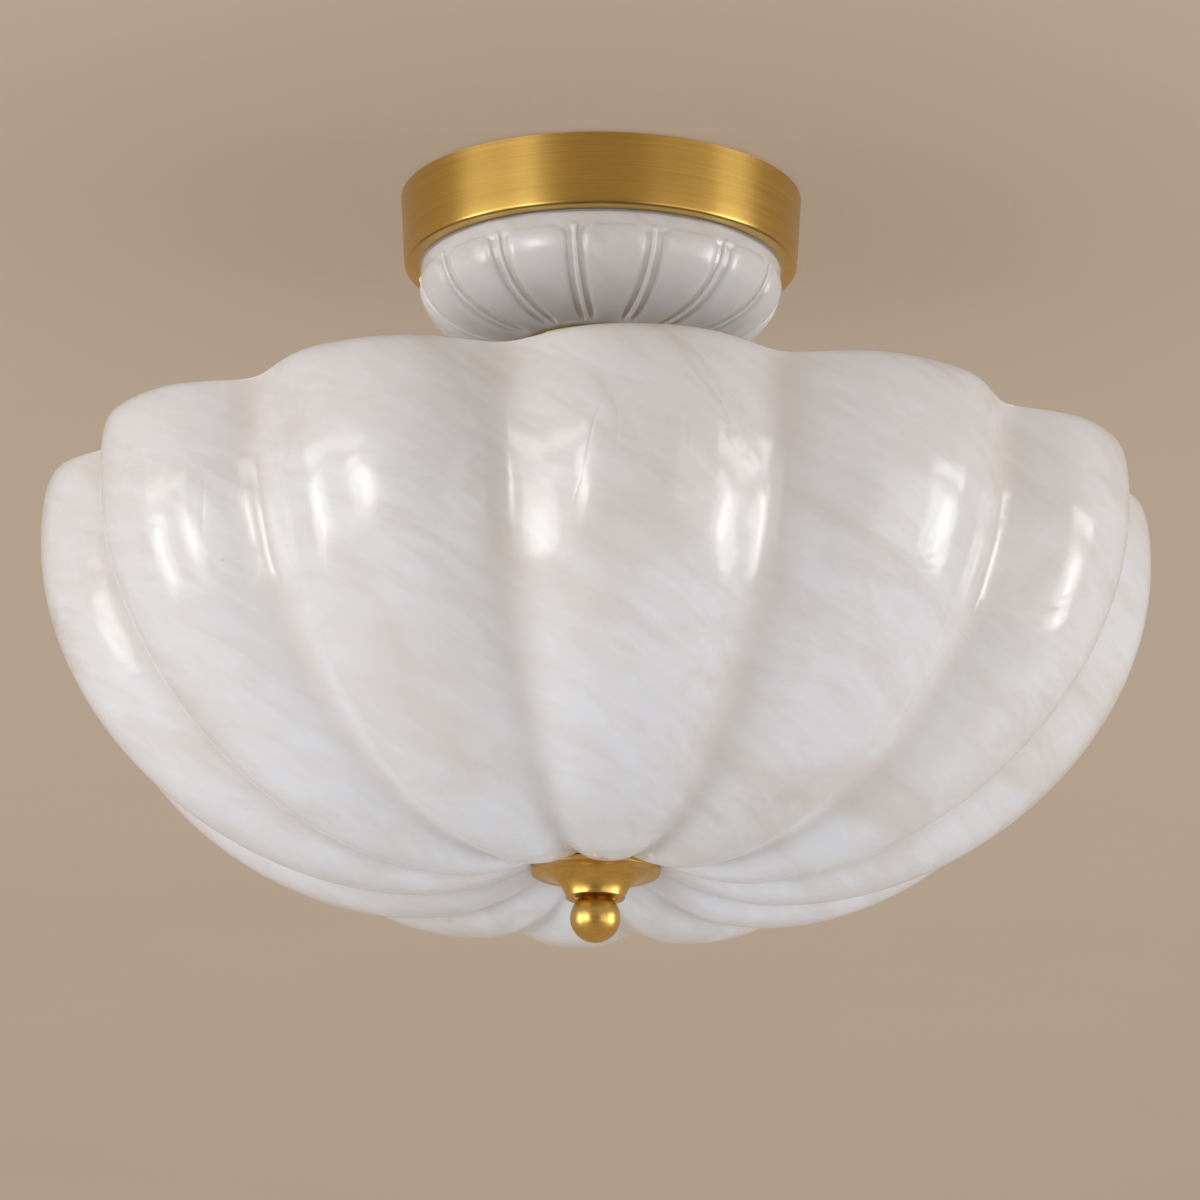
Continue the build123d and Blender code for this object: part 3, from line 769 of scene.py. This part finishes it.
def cup_piece():
    """The fluted cup."""
    fluted, plain = cup_outlines()
    lengths = [0.0]
    for first, second in zip(fluted, fluted[1:]):
        lengths.append(lengths[-1] + sqrt((second[0] - first[0]) ** 2 + (second[1] - first[1]) ** 2))
    half = pi / cup_panels
    angles = []
    for panel in range(cup_panels):
        middle = cup_phase + 2 * half * panel
        for column in range(columns_per_panel):
            share = 2 * column / columns_per_panel - 1
            angle = half * share * (even_column_share + (1 - even_column_share) * share**2)
            angles.append((middle, angle))
    rows = []
    painted_shade = []
    for index, (radius, height) in enumerate(fluted):
        before, after = fluted[max(0, index - 1)], fluted[min(len(fluted) - 1, index + 1)]
        along = Vector((after[0] - before[0], after[1] - before[1])).normalized()
        normal = Vector((-along[1], along[0]))
        below_band = lengths[index] - cup_band - cup_lip_height + cup_lip_edge
        to_flat = lengths[-1] - lengths[index]
        row = []
        for middle, angle in angles:
            level = panel_level(below_band, abs(angle) * radius, to_flat)
            out = radius + normal[0] * level
            turn = middle + angle
            row.append((out * cos(turn), out * sin(turn), height + normal[1] * level))
            # Painted shade, deeper where the channels are deeper, and a little on the rim band
            channel_shade = min(1, max(0, -level / shade_depth - shade_start))
            painted_shade.append(channel_shade if below_band > 0 else band_shade)
        rows.append(row)
    turns = [middle + angle for middle, angle in angles]
    for radius, height in plain:
        rows.append([(radius * cos(turn), radius * sin(turn), height) for turn in turns])
        # Painted shade inside the cup
        painted_shade += [inside_shade] * len(turns)
    piece = grid_object("fluted_cup", rows, smooth_angle=60)
    paint_shade_in_hollows(piece, painted_shade)
    finish_piece(piece, "canopy_assembly", lightened_cup_stone, "upper_cup")


def canopy_piece():
    """The spun canopy with its rolled lower edge."""
    lower = canopy_lower_radius
    taper = (canopy_radius - lower) / canopy_height
    floor = canopy_floor - canopy_height
    fillet = canopy_inner_fillet
    outline = [
        (canopy_radius - canopy_recess_width, 0),
        (canopy_radius - canopy_recess_width, -canopy_recess_depth),
        (canopy_radius - canopy_top_bevel_width, canopy_top_bevel_level),
        *[(lower + taper * height, height - canopy_height) for height in canopy_side_heights],
        *arc((lower - canopy_edge, canopy_edge - canopy_height), canopy_edge, 0, -90, 8),
        (cup_radius, -canopy_height),
        (cup_hole, -canopy_height),
        (cup_hole, floor),
        *arc((lower - canopy_wall - fillet, floor + fillet), fillet, -90, 0, 6),
        (lower - canopy_wall + taper * canopy_inner_bend_height, canopy_inner_bend),
        (canopy_radius - canopy_wall - canopy_inner_step, 0),
    ]
    piece = lathe("canopy_pan", outline, segments=256)
    finish_piece(piece, "canopy_assembly", brass_round, "canopy")


def cap_piece():
    """The cap under the bowl, flared down to its lip."""
    edge_bottom = cap_top - cap_edge_height
    across = cap_flare_radius - cap_lip_radius
    down = edge_bottom - cap_bottom
    flare = (across**2 + down**2) / (2 * down)
    centre = (cap_flare_radius, edge_bottom - flare)
    steep = Vector((cap_lip_radius - centre[0], cap_bottom - centre[1]))
    end = 180 - Vector((-1, 0)).angle(steep) * 180 / pi
    outline = [
        (cap_hole, cap_top),
        (cap_radius - cap_top_bevel, cap_top),
        *arc((cap_radius - cap_top_round, cap_top - cap_top_round), cap_top_round, 60, 0, 3),
        *arc((cap_radius - cap_edge_round, edge_bottom + cap_edge_round), cap_edge_round, 0, -90, 5),
        *arc(centre, flare, 90, end, 28),
        *arc((cap_lip_radius - cap_lip_round, cap_bottom + cap_lip_rise), cap_lip_round, -20, -90, 3),
        (cap_recess_radius + cap_recess_bevel_width, cap_bottom),
        (cap_recess_radius, cap_bottom + cap_recess_bevel_height),
        (cap_recess_radius, cap_recess_top),
        (cap_hole, cap_recess_top),
    ]
    piece = lathe("bottom_cap_turned", outline, segments=160)
    finish_piece(piece, "shade", brass_plain, "bottom_cap")


def ball_piece():
    """The ball finial on its short neck, with the rod's bore."""
    join = sqrt(ball_radius**2 - ball_neck_radius**2)
    start = 90 - Vector((ball_neck_radius, join)).angle(Vector((0, 1))) * 180 / pi
    bore_radius = rod_radius + ball_bore_clearance
    bore_bottom = rod_bottom - ball_bore_depth
    outline = [
        (bore_radius, cap_recess_top),
        (ball_neck_radius, cap_recess_top),
        *arc((0, ball_level), ball_radius, start, -89, 44),
        (axis_radius, ball_level - ball_radius),
        (axis_radius, bore_bottom),
        (bore_radius, bore_bottom),
    ]
    piece = lathe("finial_ball_turned", outline, segments=96)
    finish_piece(piece, "finial", brass_plain, "finial_ball")


def fine_screw(name, node, radius, bore, low, high, plain_end, segments):
    """A rod or tube, bevelled at both ends, with a fine thread that leaves a plain end on each."""
    sides = heights(low + screw_bevel, high - screw_bevel, fine_pitch / fine_steps)
    outline = [
        (bore, low),
        (radius - screw_bevel, low),
        *[(radius, height) for height in sides],
        (radius - screw_bevel, high),
        (bore, high),
    ]
    thread = (low + plain_end, high - plain_end, fine_pitch, fine_depth)
    piece = screwed_piece(name, outline, segments, *thread)
    finish_piece(piece, "frame", zinc, node)


def rod_piece():
    """The centre rod, threaded over its whole length."""
    fine_screw("centre_rod_threaded", "centre_rod", rod_radius, axis_radius, rod_bottom, rod_top, 0, 24)


def nipple_piece():
    """The hollow threaded nipple that hangs from the bracket."""
    name, node = "hollow_nipple_threaded", "threaded_nipple"
    fine_screw(name, node, nipple_radius, nipple_bore, nipple_bottom, nipple_top, screw_bevel, 36)


def glass_outline(inset):
    """Outline of a bulb's glass, outside or set in by the wall."""
    neck = glass_neck_radius - inset
    wide = glass_radius - inset
    tip = glass_end - inset
    shoulder = (glass_neck_end + glass_shoulder_end) / 2
    dome = (glass_dome_start + glass_end) / 2
    return outline_points(
        [
            ([(neck, base_collar_end), (neck, glass_neck_end)], 3),
            ([(neck, glass_neck_end), (neck, shoulder), (wide, shoulder), (wide, glass_shoulder_end)], 14),
            ([(wide, glass_shoulder_end), (wide, glass_dome_start)], 4),
            ([(wide, glass_dome_start), (wide, dome), (wide / 2, tip), (axis_radius, tip)], 20),
        ]
    )


def bulb_pieces(number, angle):
    """Base and glass of one bulb, lying outwards on its arm."""
    turn = radians(angle)
    outward = Vector((cos(turn), sin(turn), 0))
    level = Matrix.Translation((0, 0, arm_level * mm))
    place = level @ outward.to_track_quat("Z", "Y").to_matrix().to_4x4()
    sides = heights(base_thread_start, base_thread_end, base_pitch / base_steps)
    collar_top = base_collar_end - base_collar_crown
    outline = [
        (axis_radius, base_contact),
        *base_tip,
        (base_radius - base_depth, base_cone_end),
        *[(base_radius, height) for height in sides],
        (base_radius, base_collar_start),
        (base_collar_radius - base_collar_round, base_collar_start),
        (base_collar_radius, base_collar_start + base_collar_round),
        (base_collar_radius, collar_top - base_collar_bevel),
        (base_collar_radius - base_collar_bevel, collar_top),
        (axis_radius, base_collar_end),
    ]
    thread = (base_thread_start, base_thread_end, base_pitch, base_depth)
    base = screwed_piece(f"bulb_base_screw_{number}", outline, 48, *thread, place)
    finish_piece(base, f"bulb_{number}", nickel, f"bulb_base_{number}")
    walls = glass_outline(0) + glass_outline(glass_wall)[::-1]
    glass = lathe(f"bulb_glass_blown_{number}", walls, 72, place)
    finish_piece(glass, f"bulb_{number}", opal, f"bulb_glass_{number}")


def seen_directly(tree):
    """1 for a ray from the camera, a reflection or a ray through glass, otherwise 0."""
    path = add_node(tree, "LightPath").outputs
    mirrored = arithmetic(tree, "MAXIMUM", path["Is Glossy Ray"], path["Is Transmission Ray"])
    return arithmetic(tree, "MAXIMUM", path["Is Camera Ray"], mirrored)


def ceiling_piece():
    """Painted ceiling behind the light, seen only from below."""
    half = ceiling_half_size
    corners = [(-half, -half), (-half, half), (half, half), (half, -half)]
    mesh = bpy.data.meshes.new("ceiling")
    mesh.from_pydata([(x, y, ceiling_gap * mm) for x, y in corners], [], [(0, 1, 2, 3)])
    ceiling = bpy.data.objects.new("ceiling", mesh)
    bpy.context.scene.collection.objects.link(ceiling)
    material, tree, shader = new_material("ceiling_paint", Roughness=0.9, Specular_IOR_Level=0.1)
    place = add_node(tree, "TexCoord").outputs["Object"]
    patches = noise(tree, place, scale=4, detail=5)
    paint = mix(tree, patches, backdrop_colour, scaled_colour(backdrop_colour, 1.05))
    tree.links.new(paint, shader.inputs["Base Color"])
    grain = bump(tree, noise(tree, place, scale=420, detail=4), strength=0.25, distance=0.0006)
    tree.links.new(grain, shader.inputs["Normal"])
    glow = add_node(tree, "Emission", {"Color": paint, "Strength": 1.0}).outputs[0]
    share = multiply(tree, seen_directly(tree), ceiling_glow)
    painted = add_node(tree, "MixShader", {0: share, 1: shader.outputs[0], 2: glow}).outputs[0]
    clear = add_node(tree, "BsdfTransparent").outputs[0]
    back = add_node(tree, "NewGeometry").outputs["Backfacing"]
    both = add_node(tree, "MixShader", {0: back, 1: painted, 2: clear}).outputs[0]
    tree.links.new(both, tree.nodes["Material Output"].inputs["Surface"])
    mesh.materials.append(material)


def room():
    """Even room light. What is seen behind everything is the backdrop's colour, dimmed in reflections of
    what lies in front."""
    world = bpy.data.worlds.new("room")
    bpy.context.scene.world = world
    world.use_nodes = True
    tree = world.node_tree
    light = tree.nodes["Background"]
    light.inputs["Color"].default_value = room_tint
    light.inputs["Strength"].default_value = room_light
    direction = add_node(tree, "TexCoord").outputs["Generated"]
    forward = add_node(tree, "SeparateXYZ", {"Vector": direction}).outputs["Y"]
    front = add_node(tree, "MapRange", {"Value": forward, "From Min": front_start, "From Max": front_full})
    glossy = add_node(tree, "LightPath").outputs["Is Glossy Ray"]
    dimming = multiply(tree, multiply(tree, front.outputs["Result"], glossy), front_dimming)
    level = arithmetic(tree, "SUBTRACT", 1.0, dimming)
    seen = add_node(tree, "Background", {"Color": backdrop_colour, "Strength": level}).outputs[0]
    both = add_node(tree, "MixShader", {0: seen_directly(tree), 1: light.outputs[0], 2: seen}).outputs[0]
    tree.links.new(both, tree.nodes["World Output"].inputs["Surface"])


def softbox(name, azimuth, elevation, distance, width, height, radiance):
    """Rectangular lamp that faces the bowl, placed by its angles in degrees from the front of the light."""
    data = bpy.data.lights.new(name, "AREA")
    data.shape = "RECTANGLE"
    data.size = width
    data.size_y = height
    data.energy = radiance * pi * width * height
    data.color = lamp_colour
    lamp = bpy.data.objects.new(name, data)
    side, rise = radians(azimuth), radians(elevation)
    offset = Vector((sin(side) * cos(rise), -cos(side) * cos(rise), sin(rise))) * distance
    lamp.location = camera_aim + offset
    lamp.rotation_euler = offset.to_track_quat("Z", "Y").to_euler()
    bpy.context.scene.collection.objects.link(lamp)


def camera():
    """Camera at the photograph's angle."""
    forward = Vector((0, cos(camera_pitch), sin(camera_pitch)))
    right = Vector((1, 0, 0))
    up = right.cross(forward)
    across = right * cos(camera_roll) + up * sin(camera_roll)
    upward = -right * sin(camera_roll) + up * cos(camera_roll)
    data = bpy.data.cameras.new("camera")
    data.sensor_width = sensor_width
    data.lens = sensor_width * focal_length_pixels / picture_width
    data.clip_start = nearest_seen
    data.clip_end = furthest_seen
    eye = bpy.data.objects.new("camera", data)
    place = Matrix((across, upward, -forward)).transposed().to_4x4()
    place.translation = camera_aim - forward * camera_distance
    eye.matrix_world = place
    bpy.context.scene.collection.objects.link(eye)
    bpy.context.scene.camera = eye


paint_nodes()
bowl_piece()
cup_piece()
canopy_piece()
cap_piece()
ball_piece()
rod_piece()
nipple_piece()
for number, angle in enumerate(arm_angles, 1):
    bulb_pieces(number, angle)
ceiling_piece()
room()
for lamp in lamps:
    softbox(*lamp)
camera()

bpy.context.scene.view_settings.view_transform = "Standard"
